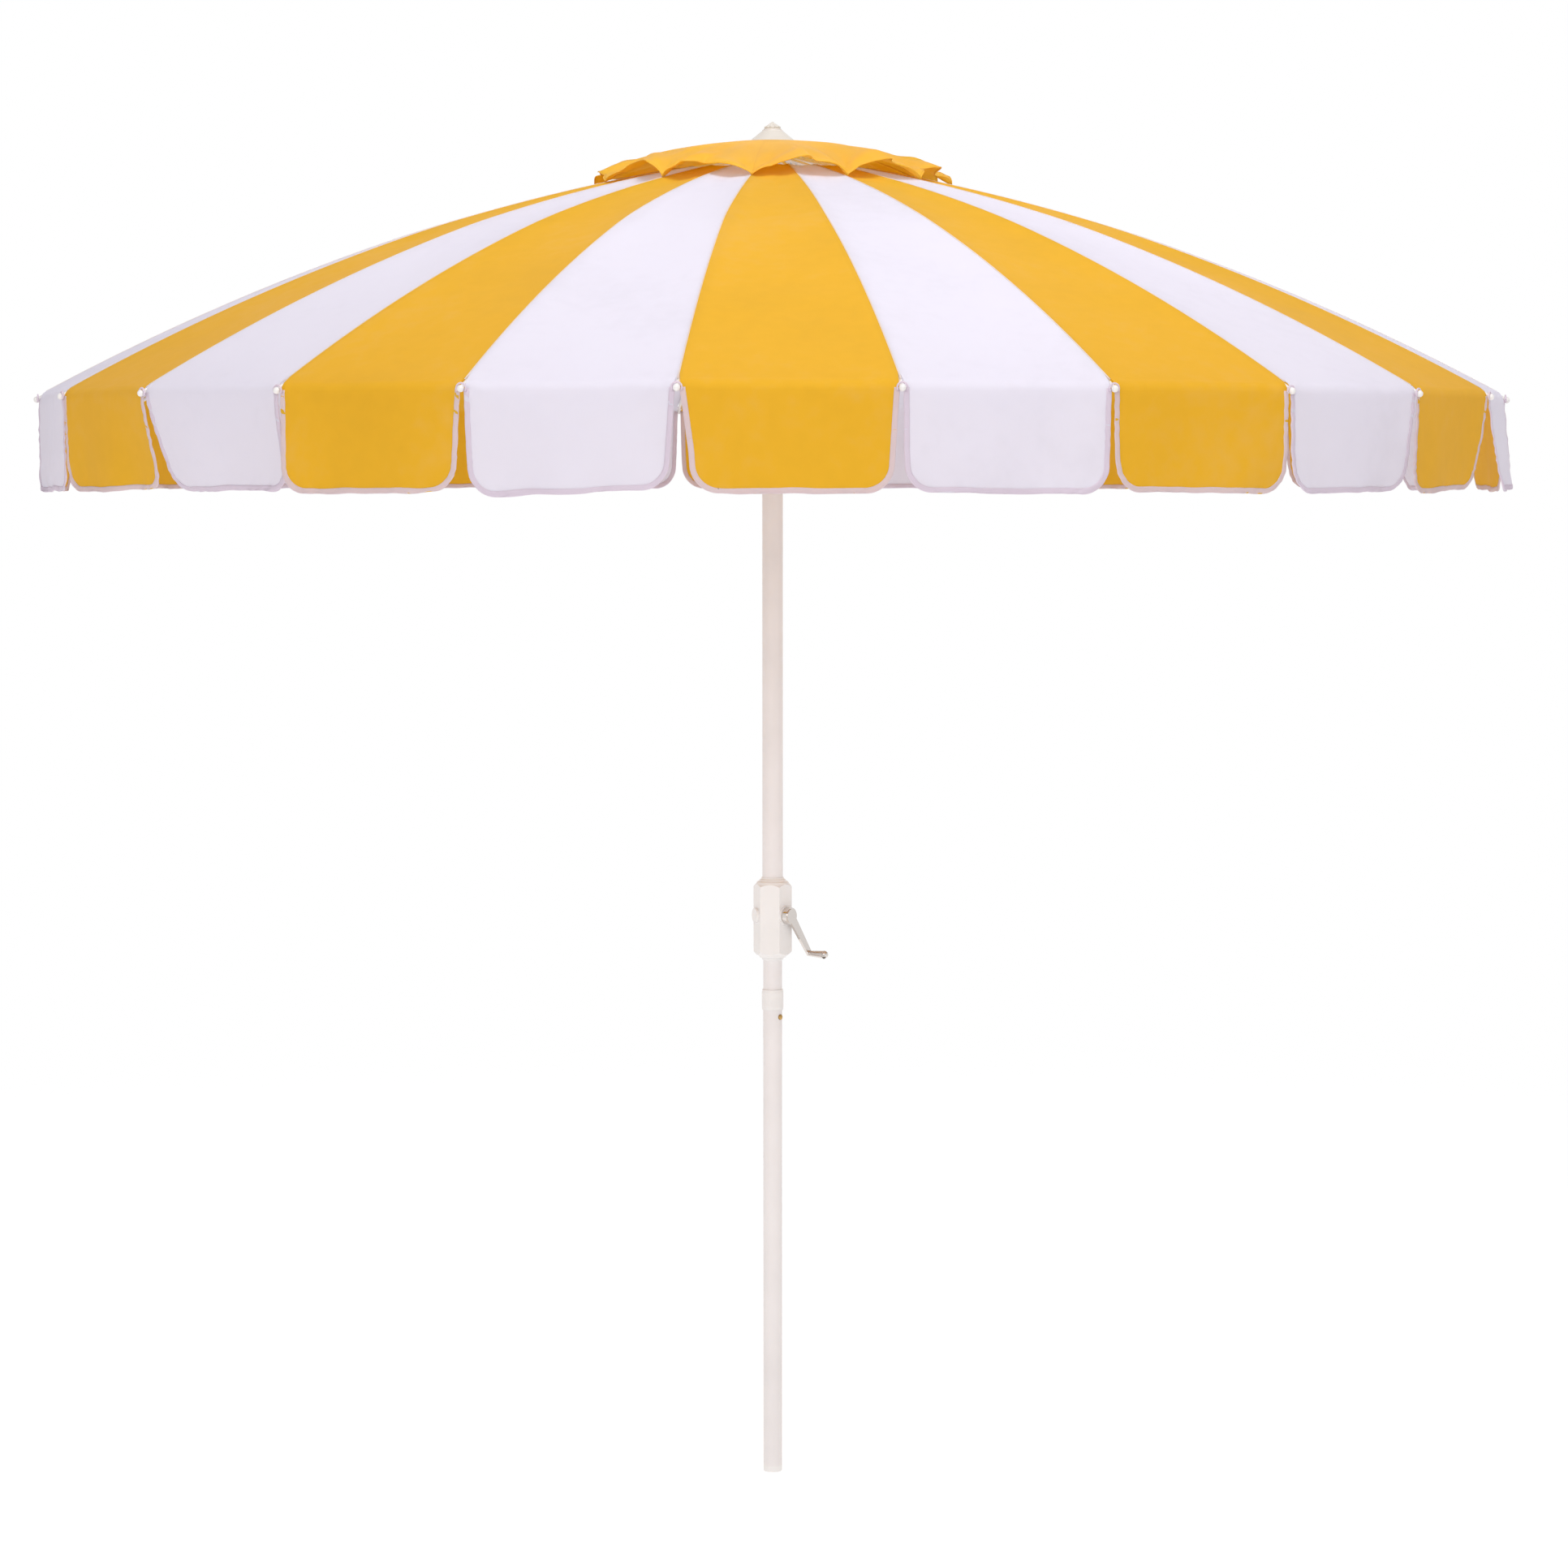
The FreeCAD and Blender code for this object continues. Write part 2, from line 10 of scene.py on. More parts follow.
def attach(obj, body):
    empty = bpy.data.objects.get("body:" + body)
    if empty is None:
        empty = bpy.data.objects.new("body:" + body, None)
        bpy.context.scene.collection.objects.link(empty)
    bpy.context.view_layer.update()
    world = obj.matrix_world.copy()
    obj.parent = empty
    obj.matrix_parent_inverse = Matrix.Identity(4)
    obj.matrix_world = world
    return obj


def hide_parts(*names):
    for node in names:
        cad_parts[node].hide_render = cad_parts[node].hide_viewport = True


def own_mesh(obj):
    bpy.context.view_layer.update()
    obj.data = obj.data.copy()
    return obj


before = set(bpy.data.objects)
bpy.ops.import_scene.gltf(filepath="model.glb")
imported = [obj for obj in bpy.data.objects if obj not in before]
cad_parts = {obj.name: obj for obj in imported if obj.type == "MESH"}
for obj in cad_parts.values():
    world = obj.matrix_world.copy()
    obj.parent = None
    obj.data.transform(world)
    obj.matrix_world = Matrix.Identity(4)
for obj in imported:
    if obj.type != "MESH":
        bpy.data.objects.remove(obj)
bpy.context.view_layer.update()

# ---- Sizes of the frame, in metres ---------------------------------------------------------
RIBS = 24
RIB_STEP = math.radians(360 / RIBS)
HALF_STEP = RIB_STEP / 2
FRONT_TURN = math.radians(0.6)      # the front panel's middle, turned towards +X
SEAM_CROWN = (0.046, 2.442)         # seam line: an arc in the plane of each rib, (radius, height)
SEAM_TIP = (1.330, 2.003)
SEAM_BOW = 0.055
RIB_DEPTH = 0.005                   # a rib's centre line lies this far under the seam
VENT_HOLE_R = 0.185
BRACKET_R = 0.654
FLAP_DROP = 0.171
TIP_BALL_R = 1.335                  # distance of a ball tip's centre from the pole
CAP_EDGE_R = 0.329
CLOTH = 0.0009                      # thickness of the canopy's cloth

# Folded cloth: the share of its open width that is left, and how far it leans outward over the piece
# beside it
PANEL_FOLD = (0.24, math.radians(13))
CAP_FOLD = (0.62, math.radians(10))


def arc_through(start, end, bow):
    """Centre and radius of the arc that rises by bow over the chord."""
    dr, dz = end[0] - start[0], end[1] - start[1]
    half = math.hypot(dr, dz) / 2
    radius = (half * half + bow * bow) / (2 * bow)
    out = (-dz / (2 * half), dr / (2 * half))
    middle = ((start[0] + end[0]) / 2, (start[1] + end[1]) / 2)
    depth = radius - bow
    return (middle[0] - out[0] * depth, middle[1] - out[1] * depth), radius


SEAM_CENTRE, SEAM_RADIUS = arc_through(SEAM_CROWN, SEAM_TIP, SEAM_BOW)


def arc_height(r, depth=0.0):
    """Height of the seam's arc, or of an arc that lies deeper."""
    return SEAM_CENTRE[1] + math.sqrt((SEAM_RADIUS - depth) ** 2 - (r - SEAM_CENTRE[0]) ** 2)


def radial(azimuth):
    """Unit vector outward, at an azimuth counted from -Y towards +X."""
    return Vector((math.sin(azimuth), -math.cos(azimuth), 0))


def tangent(azimuth):
    return Vector((math.cos(azimuth), math.sin(azimuth), 0))


def rib_azimuth(index):
    return FRONT_TURN + HALF_STEP + RIB_STEP * index


def numbered(stem, index):
    return "%s_%02d" % (stem, index % RIBS + 1)


# ---- Mesh helpers --------------------------------------------------------------------------
def new_object(name, verts, faces, materials):
    mesh = bpy.data.meshes.new(name)
    mesh.from_pydata([tuple(v) for v in verts], [], faces)
    mesh.update()
    obj = bpy.data.objects.new(name, mesh)
    bpy.context.scene.collection.objects.link(obj)
    for material in materials:
        mesh.materials.append(material)
    return obj


class Patch:
    """Collects vertices and faces of one object, with a material index for each face."""

    def __init__(self):
        self.verts = []
        self.faces = []
        self.marks = []
        self.rim = set()

    def add_grid(self, rows, mark=0, closed=False, flip=False):
        """rows is a list of equally long lists of points."""
        start = len(self.verts)
        width = len(rows[0])
        for row in rows:
            self.verts.extend(row)
        last = width if closed else width - 1
        for j in range(len(rows) - 1):
            for i in range(last):
                a = start + j * width + i
                b = start + j * width + (i + 1) % width
                c = b + width
                d = a + width
                self.faces.append((a, d, c, b) if flip else (a, b, c, d))
                self.marks.append(mark)

    def add_cloth(self, rows, thickness, mark=0):
        """A closed thin sheet: rows on both sides and a rim."""
        start = len(self.verts)
        height = len(rows)
        width = len(rows[0])
        outer, inner = two_sides(rows, thickness)
        for side in (outer, inner):
            for row in side:
                self.verts.extend(row)
        under = height * width

        def at(j, i, side):
            return start + side * under + j * width + i

        for j in range(height - 1):
            for i in range(width - 1):
                self.faces.append((at(j, i, 0), at(j + 1, i, 0), at(j + 1, i + 1, 0), at(j, i + 1, 0)))
                self.faces.append((at(j, i, 1), at(j, i + 1, 1), at(j + 1, i + 1, 1), at(j + 1, i, 1)))
                self.marks.extend((mark, mark))
        rim_start = len(self.faces)
        for j in range(height - 1):
            self.faces.append((at(j, 0, 0), at(j, 0, 1), at(j + 1, 0, 1), at(j + 1, 0, 0)))
            right = width - 1
            self.faces.append((at(j, right, 0), at(j + 1, right, 0), at(j + 1, right, 1), at(j, right, 1)))
            self.marks.extend((mark, mark))
        for i in range(width - 1):
            self.faces.append((at(0, i, 0), at(0, i + 1, 0), at(0, i + 1, 1), at(0, i, 1)))
            low = height - 1
            self.faces.append((at(low, i, 0), at(low, i, 1), at(low, i + 1, 1), at(low, i + 1, 0)))
            self.marks.extend((mark, mark))
        self.rim.update(range(rim_start, len(self.faces)))

    def add_tube(self, path, radius, sides, mark=0):
        """Round tube with closed ends along the points of a path."""
        rings = []
        last = len(path) - 1
        normal = None
        for k, point in enumerate(path):
            ahead = (path[min(k + 1, last)] - path[max(k - 1, 0)]).normalized()
            if normal is None:
                normal = ahead.orthogonal().normalized()
            normal = (normal - ahead * normal.dot(ahead)).normalized()
            side = ahead.cross(normal)
            ring = []
            for s in range(sides):
                turn = 2 * math.pi * s / sides
                ring.append(point + (normal * math.cos(turn) + side * math.sin(turn)) * radius)
            rings.append(ring)
        first = len(self.verts)
        self.add_grid(rings, mark, closed=True)
        self.close_ends(first, len(rings), sides, mark)

    def add_tape(self, path, width, thickness, mark=0):
        """Flat tape that lies face up along a path, with softly rounded edges."""
        sides = 12
        squareness = 0.6
        up = Vector((0, 0, 1))
        rings = []
        last = len(path) - 1
        for k, point in enumerate(path):
            ahead = (path[min(k + 1, last)] - path[max(k - 1, 0)]).normalized()
            inward = up.cross(ahead).normalized()
            normal = ahead.cross(inward)
            ring = []
            for s in range(sides):
                turn = 2 * math.pi * s / sides
                wide = math.copysign(abs(math.cos(turn)) ** squareness, math.cos(turn))
                thick = math.copysign(abs(math.sin(turn)) ** squareness, math.sin(turn))
                ring.append(point + inward * wide * width / 2 + normal * thick * thickness / 2)
            rings.append(ring)
        first = len(self.verts)
        self.add_grid(rings, mark, closed=True, flip=True)
        self.close_ends(first, len(rings), sides, mark, flip=True)

    def close_ends(self, first, count, sides, mark, flip=False):
        """End faces for a run of closed rings whose first vertex is given."""
        start = range(first, first + sides)
        end = range(first + (count - 1) * sides, first + count * sides)
        if flip:
            self.faces.extend((tuple(start), tuple(reversed(end))))
        else:
            self.faces.extend((tuple(reversed(start)), tuple(end)))
        self.marks.extend((mark, mark))

    def build(self, name, materials):
        obj = new_object(name, self.verts, self.faces, materials)
        obj.data.polygons.foreach_set("material_index", self.marks)
        smooth = [index not in self.rim for index in range(len(self.faces))]
        obj.data.polygons.foreach_set("use_smooth", smooth)
        return obj


def grid_normal(rows, j, i):
    """The outward direction of a grid of points at one of them."""
    down = rows[min(j + 1, len(rows) - 1)][i] - rows[max(j - 1, 0)][i]
    across = rows[j][min(i + 1, len(rows[j]) - 1)] - rows[j][max(i - 1, 0)]
    normal = down.cross(across)
    return normal.normalized() if normal.length > 1e-12 else Vector((0, 0, 1))


def two_sides(rows, thickness):
    """The rows moved half a thickness to each side, along their grid normals."""
    outer = []
    inner = []
    for j, row in enumerate(rows):
        shifts = [grid_normal(rows, j, i) * thickness / 2 for i in range(len(row))]
        outer.append([point + shift for point, shift in zip(row, shifts)])
        inner.append([point - shift for point, shift in zip(row, shifts)])
    return outer, inner


def smoothstep(low, high, value):
    t = min(1.0, max(0.0, (value - low) / (high - low)))
    return t * t * (3 - 2 * t)


# ---- Materials -----------------------------------------------------------------------------
class Nodes:
    """Small helper that makes nodes and joins them."""

    def __init__(self, name):
        self.material = bpy.data.materials.new(name)
        self.material.use_nodes = True
        self.tree = self.material.node_tree
        self.shader = self.tree.nodes["Principled BSDF"]
        self.output = self.tree.nodes["Material Output"]

    def add(self, kind, **values):
        node = self.tree.nodes.new(kind)
        for key, value in values.items():
            if key in node.inputs:
                node.inputs[key].default_value = value
            else:
                setattr(node, key.lower(), value)
        return node

    def join(self, a, out, b, into):
        self.tree.links.new(a.outputs[out], b.inputs[into])

    def value(self, a, out, into):
        self.join(a, out, self.shader, into)


def ramp(nodes, stops):
    node = nodes.add("ShaderNodeValToRGB")
    elements = node.color_ramp.elements
    elements[0].position, elements[0].color = stops[0]
    elements[1].position, elements[1].color = stops[-1]
    for position, colour in stops[1:-1]:
        element = elements.new(position)
        element.color = colour
    return node


def rgb(r, g, b):
    """sRGB 0 to 255 to a linear colour."""
    def linear(c):
        c /= 255
        return c / 12.92 if c <= 0.04045 else ((c + 0.055) / 1.055) ** 2.4
    return (linear(r), linear(g), linear(b), 1.0)


def mixed(a, b, share):
    return tuple(x * (1 - share) + y * share for x, y in zip(a, b))


def cloth_material(name, colour, glow, sheen_tint, through_share=0.42, roughness=0.80):
    """Woven polyester: fine over-and-under threads, slubs, soft sheen, and light that comes through."""
    n = Nodes(name)
    coords = n.add("ShaderNodeTexCoord")
    slub = n.add("ShaderNodeTexNoise", Scale=38.0, Detail=3.0)
    cloud = n.add("ShaderNodeTexNoise", Scale=2.6, Detail=2.0)
    n.join(coords, "Object", slub, "Vector")
    n.join(coords, "Object", cloud, "Vector")
    darker = mixed(colour, (0, 0, 0, 1), 0.05)
    lighter = mixed(colour, (1, 1, 1, 1), 0.05)
    tone = ramp(n, [(0.35, darker), (0.5, colour), (0.68, lighter)])
    blend = n.add("ShaderNodeMix", data_type="FLOAT")
    blend.inputs[0].default_value = 0.35
    n.join(cloud, "Fac", blend, "A")
    n.join(slub, "Fac", blend, "B")
    n.join(blend, "Result", tone, "Fac")
    n.value(tone, "Color", "Base Color")

    threads = []
    for direction in ("X", "Y", "Z"):
        wave = n.add("ShaderNodeTexWave", Scale=260.0, Distortion=0.6)
        wave.bands_direction = direction
        n.join(coords, "Object", wave, "Vector")
        threads.append(wave)
    weave = n.add("ShaderNodeMath", operation="MAXIMUM")
    n.join(threads[0], "Fac", weave, 0)
    n.join(threads[1], "Fac", weave, 1)
    weave_all = n.add("ShaderNodeMath", operation="ADD")
    n.join(weave, "Value", weave_all, 0)
    n.join(threads[2], "Fac", weave_all, 1)
    fine = n.add("ShaderNodeBump", Strength=0.10, Distance=0.0003)
    n.join(weave_all, "Value", fine, "Height")
    puckers = n.add("ShaderNodeTexNoise", Scale=14.0, Detail=4.0)
    n.join(coords, "Object", puckers, "Vector")
    soft = n.add("ShaderNodeBump", Strength=0.14, Distance=0.004)
    n.join(puckers, "Fac", soft, "Height")
    n.join(fine, "Normal", soft, "Normal")
    n.value(soft, "Normal", "Normal")
    n.shader.inputs["Roughness"].default_value = roughness
    n.shader.inputs["Specular IOR Level"].default_value = 0.35
    n.shader.inputs["Sheen Weight"].default_value = 0.13
    n.shader.inputs["Sheen Roughness"].default_value = 0.45
    n.shader.inputs["Sheen Tint"].default_value = sheen_tint

    through = n.add("ShaderNodeBsdfTranslucent", Color=glow)
    mix = n.add("ShaderNodeMixShader", Fac=through_share)
    n.join(n.shader, "BSDF", mix, 1)
    n.join(through, "BSDF", mix, 2)
    n.join(mix, "Shader", n.output, "Surface")
    return n.material


def moulded_material(name, colour, roughness, grain=0.35, metallic=0.0, coat=0.0):
    """Moulded plastic or powder coat: faint orange peel, and slight changes of tone and gloss."""
    n = Nodes(name)
    coords = n.add("ShaderNodeTexCoord")
    peel = n.add("ShaderNodeTexNoise", Scale=540.0, Detail=2.0)
    stain = n.add("ShaderNodeTexNoise", Scale=7.5, Detail=4.0)
    n.join(coords, "Object", peel, "Vector")
    n.join(coords, "Object", stain, "Vector")
    tone = ramp(n, [(0.3, mixed(colour, (0, 0, 0, 1), 0.06)), (0.55, colour),
                    (0.75, mixed(colour, (1, 1, 1, 1), 0.10))])
    n.join(stain, "Fac", tone, "Fac")
    n.value(tone, "Color", "Base Color")
    gloss = n.add("ShaderNodeMapRange")
    gloss.inputs["To Min"].default_value = roughness * 0.85
    gloss.inputs["To Max"].default_value = roughness * 1.15
    n.join(stain, "Fac", gloss, "Value")
    n.value(gloss, "Result", "Roughness")
    bump = n.add("ShaderNodeBump", Strength=grain * 0.3, Distance=0.0002)
    n.join(peel, "Fac", bump, "Height")
    n.value(bump, "Normal", "Normal")
    n.shader.inputs["Metallic"].default_value = metallic
    n.shader.inputs["Coat Weight"].default_value = coat
    n.shader.inputs["Coat Roughness"].default_value = 0.2
    return n.material


cloth_yellow = cloth_material("cloth_yellow", rgb(232, 189, 44), rgb(244, 202, 48), (1.0, 0.92, 0.7, 1))
# Painted light: the cap's base and glow colours are the canopy's yellow made lighter, standing in for the
# light the cap lacks from below. Its lower roughness is the cap cloth's satin finish.
cloth_cap_lightened = cloth_material("cloth_cap_lightened", rgb(250, 212, 74), rgb(255, 216, 74), (1.0, 0.94, 0.75, 1),
                           through_share=0.50, roughness=0.42)
cloth_white = cloth_material("cloth_white", rgb(232, 229, 237), rgb(242, 239, 248), (0.97, 0.94, 1.0, 1))
cloth_piping = cloth_material("cloth_piping", rgb(232, 220, 230), rgb(240, 228, 238), (1, 0.95, 1, 1))
seam_tape = cloth_material("seam_tape", rgb(244, 232, 224), rgb(244, 234, 226), (1, 0.97, 0.95, 1))
pole_coat = moulded_material("pole_coat", rgb(227, 221, 220), 0.42, grain=0.5)
rib_coat = moulded_material("rib_coat", rgb(228, 224, 222), 0.40)
white_plastic = moulded_material("white_plastic", rgb(229, 225, 223), 0.38, coat=0.15)
# The finial's colour is partly its own warmer plastic tone and partly painted shade: it is darkened below
# the white plastic so that its top, lit from above, does not wash out.
finial_plastic_darkened = moulded_material("finial_plastic_darkened", rgb(210, 203, 195), 0.36, coat=0.15)
nickel = moulded_material("nickel_plate", rgb(222, 215, 210), 0.14, metallic=1.0)
brass = moulded_material("brass", rgb(196, 158, 96), 0.28, metallic=1.0)


def assign(node, material):
    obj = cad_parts[node]
    if not obj.data.materials:
        obj.data.materials.append(material)
    for index in range(len(obj.material_slots)):
        obj.material_slots[index].material = material


for node in ("lower_pole", "connector_tube", "upper_pole"):
    assign(node, pole_coat)
for node in ("lower_pole_fittings", "crank_housing", "crown_hub", "runner"):
    assign(node, white_plastic)
assign("finial", finial_plastic_darkened)
for node in ("crank_handle", "crank_knob"):
    assign(node, nickel)
assign("snap_button", brass)
for index in range(RIBS):
    assign(numbered("rib", index), rib_coat)
    assign(numbered("stretcher", index), rib_coat)


# ---- Canopy panels -------------------------------------------------------------------------
ROOF_ROWS = 44
FOLD_ROWS = 5
FLAP_ROWS = 28
COLUMNS = 40
BRACKET_LIFT = 0.007                # the cloth is tented over each rib's bracket
SEAM_SWAY = 0.008                   # and is drawn sideways there
PANEL_SAG = 0.010                   # the most that the cloth sags between two ribs
FOLD_SOFTNESS = 0.012               # the roof turns into the flap over this length on each side
FLAP_INSET = 0.0035                 # half of the slit between two flaps, at the fold
FLAP_TAPER = 0.011                  # half width lost from the fold to the hem
FLAP_CORNER = 0.042                 # radius of the lower corners
PUCKER = 0.0017                     # height of the creases that run out from a tip
PUCKER_REACH = 0.045
SIDE_PUCKER = 0.0009                # puckers along the binding, at a flap's sides and at its hem
HEM_PUCKER = 0.0010
ROOF_RIPPLE = 0.0019                # wide and narrow ripples of the roof
ROOF_FINE_RIPPLE = 0.0006
BINDING_WIDTH = 0.008
BINDING_THICKNESS = 0.0024
BINDING_ROUND = 0.0009              # the binding stands out this far round the cloth's edge
SEAM_TAPE_WIDTH = 0.0026
SEAM_TAPE_THICKNESS = 0.0012
TIP_LOOP_R = 0.0082
TIP_LOOP_CORD = 0.0015              # radius of the loop's cord
FLAP_WAVE = 0.0036                  # the flap's slow waves in and out
FLAP_BUCKLE = 0.0050
HEM_WANDER = 0.0024                 # how far the hem runs up and down
CLOTH_MARK, PIPING_MARK, TAPE_MARK = range(3)    # a panel's material slots

# How a flap hangs, seen from outside: the hem's lean outward, the right corner's lead over the left,
# the left corner's extra drop, the hem's move to the right, and how far the left and the right edges
# spread at the hem. The panels that are not listed hang by chance, within CHANCE_RANGES.
Hang = namedtuple("Hang", "lean lead drop move left right")
HANG = {
    1: Hang(0.003, 0.003, 0.000, 0.000, -0.008, 0.000),
    2: Hang(0.004, 0.004, -0.001, 0.000, 0.006, 0.002),
    3: Hang(0.000, -0.004, -0.001, 0.000, 0.010, 0.008),
    4: Hang(-0.002, -0.012, 0.001, -0.002, 0.009, 0.000),
    5: Hang(-0.012, -0.010, 0.003, -0.010, 0.006, -0.004),
    6: Hang(0.020, -0.003, 0.002, 0.004, 0.000, 0.004),
    20: Hang(0.000, 0.000, 0.001, 0.000, 0.000, 0.004),
    21: Hang(-0.019, -0.019, 0.001, 0.008, 0.004, 0.000),
    22: Hang(-0.028, 0.010, 0.002, 0.016, -0.006, 0.006),
    23: Hang(0.003, -0.002, 0.001, 0.002, 0.003, -0.002),
    24: Hang(0.002, 0.004, 0.0055, 0.000, 0.003, 0.000),
}
CHANCE_RANGES = Hang((-0.006, 0.010), (-0.010, 0.010), (-0.003, 0.003),
                     (-0.004, 0.004), (-0.004, 0.008), (-0.004, 0.008))


def tent(r):
    """About 0 at the vent hole and at the tips, and nearly 1 at the brackets, with a soft ridge."""
    inner = (r - VENT_HOLE_R) / (BRACKET_R - VENT_HOLE_R)
    outer = (SEAM_TIP[0] - r) / (SEAM_TIP[0] - BRACKET_R)
    softness = 0.012
    return (inner + outer - math.sqrt((inner - outer) ** 2 + softness)) / 2


def seam_point(index, r, raised=0.0):
    rise = tent(r)
    azimuth = rib_azimuth(index) - SEAM_SWAY * rise / r
    point = radial(azimuth) * r
    point.z = arc_height(r) + BRACKET_LIFT * rise + raised
    return point


def pucker(u, v, seed):
    """Small creases that run out from a tip. u is the way along the fold, and v the way off it."""
    distance = math.hypot(u, v)
    fade = math.exp(-(distance / PUCKER_REACH) ** 2) * smoothstep(0.0, 0.012, distance)
    return PUCKER * fade * math.cos(8.5 * math.atan2(v, u) + seed)


def roof_point(index, r, across):
    """A point of a panel's roof: r is the seam's radius, and across runs from -1 to 1."""
    seed = index + 1
    point = seam_point(index - 1, r).lerp(seam_point(index, r), (across + 1) / 2)
    span = (r - VENT_HOLE_R) / (SEAM_TIP[0] - VENT_HOLE_R)
    edge = abs(across)
    sag = PANEL_SAG * (1 - edge ** 2.2) * max(0.0, math.sin(math.pi * (0.03 + 0.97 * span))) ** 0.7
    ripple = noise.noise(Vector((across * 1.3 + seed * 7.3, r * 15.0, seed * 3.1))) * ROOF_RIPPLE
    ripple += noise.noise(Vector((across * 3.1 + seed * 2.9, r * 34.0, seed))) * ROOF_FINE_RIPPLE
    half = r * math.sin(HALF_STEP)
    creases = pucker(half * (1 - edge), SEAM_TIP[0] - r, seed * 2.1)
    point.z += (ripple + creases) * (1 - edge ** 8) - sag
    return point


def flap_edge(depth):
    """Half width lost at a depth below the fold: slit, taper and the round lower corner."""
    lost = FLAP_INSET + FLAP_TAPER * depth / FLAP_DROP
    corner = depth - (FLAP_DROP - FLAP_CORNER)
    if corner > 0:
        lost += FLAP_CORNER - math.sqrt(max(0.0, FLAP_CORNER ** 2 - corner ** 2))
    return lost


def edge_puckers(depth, across, seed):
    """Small puckers that the binding's stitching draws into the cloth."""
    at_side = smoothstep(0.86, 1.0, abs(across))
    at_hem = smoothstep(0.80, 1.0, depth / FLAP_DROP)
    sides = math.sin(depth * 290 + 3.0 * math.sin(depth * 61 + seed) + across * seed)
    hem = math.sin(across * 21 + 2.5 * math.sin(across * 5.3 + seed))
    return SIDE_PUCKER * at_side * sides + HEM_PUCKER * at_hem * hem


def flap_half_width(depth, across, hang):
    spread = hang.right if across > 0 else hang.left
    full = SEAM_TIP[0] * math.sin(HALF_STEP)
    return full - flap_edge(depth) + spread * min(1.0, 1.6 * depth / FLAP_DROP)


def flap_point(index, depth, across, hang):
    """A point of the hanging flap."""
    seed = index + 1
    azimuth = FRONT_TURN + RIB_STEP * index
    full = SEAM_TIP[0] * math.sin(HALF_STEP)
    share = depth / FLAP_DROP
    off = (hang.lean + hang.lead * across) * share ** 1.4
    off += FLAP_WAVE * math.sin(across * 4.3 + seed * 1.9) * share
    off += FLAP_BUCKLE * noise.noise(Vector((across * 2.2, depth * 11, seed * 4.4))) * share
    off += pucker(full * (1 - abs(across)), -depth, seed * 1.7) * (1 - abs(across) ** 8)
    off += edge_puckers(depth, across, seed) * min(1.0, depth / 0.02)
    side = flap_half_width(depth, across, hang) * across + hang.move * share ** 1.4
    hem = HEM_WANDER * noise.noise(Vector((across * 2.9, seed * 3.7, 0.5)))
    fall = math.sqrt(max(0.0, depth ** 2 - off ** 2)) + (hem - hang.drop * across) * share
    place = radial(azimuth) * (SEAM_TIP[0] * math.cos(HALF_STEP) + off) + tangent(azimuth) * side
    place.z = SEAM_TIP[1] - fall
    return place


def across_steps():
    """Places across a panel, from -1 to 1, closer together towards the edges."""
    return [math.sin(math.pi / 2 * (2 * i / COLUMNS - 1)) for i in range(COLUMNS + 1)]


def roof_radii():
    reach = SEAM_TIP[0] - FOLD_SOFTNESS - VENT_HOLE_R
    return [VENT_HOLE_R + reach * (k / ROOF_ROWS) ** 0.9 for k in range(ROOF_ROWS + 1)]


def panel_rows(index, hang):
    steps = across_steps()
    rows = []
    for r in roof_radii():
        half = r * math.sin(HALF_STEP)
        taper = 1 - smoothstep(1.295, 1.320, r) * FLAP_INSET / half
        rows.append([roof_point(index, r, taper * across) for across in steps])
    edge_row, row_above = rows[-1], rows[-2]
    for k in range(1, FOLD_ROWS + 1):
        t = k / (FOLD_ROWS + 1)
        row = []
        for i, across in enumerate(steps):
            start = edge_row[i]
            end = flap_point(index, FOLD_SOFTNESS, across, hang)
            corner = start + (start - row_above[i]).normalized() * FOLD_SOFTNESS
            row.append(start * (1 - t) ** 2 + corner * 2 * t * (1 - t) + end * t * t)
        rows.append(row)
    for k in range(FLAP_ROWS + 1):
        depth = FOLD_SOFTNESS + (FLAP_DROP - FOLD_SOFTNESS) * math.sin(math.pi / 2 * k / FLAP_ROWS)
        rows.append([flap_point(index, depth, across, hang) for across in steps])
    return rows


def flap_border(hang):
    """The flap's edge in its own plane, as (sideways, depth): down the left, along the hem and up."""
    turns = [math.pi / 2 * (0.03 + 0.97 * k / FLAP_ROWS) for k in range(FLAP_ROWS)]
    depths = [FLAP_DROP * math.sin(turn) for turn in turns]
    left = [(-flap_half_width(depth, -1, hang), depth) for depth in depths]
    right = [(flap_half_width(depth, 1, hang), depth) for depth in reversed(depths)]
    hem = []
    for across in across_steps():
        hem.append((flap_half_width(FLAP_DROP, across, hang) * across, FLAP_DROP))
    return left + hem + right


def flap_spot(index, hang, sideways, depth):
    """The point of the flap's surface at a place in its own plane."""
    depth = min(FLAP_DROP, max(0.001, depth))
    across = sideways / flap_half_width(depth, sideways, hang)
    return flap_point(index, depth, min(1.0, max(-1.0, across)), hang)


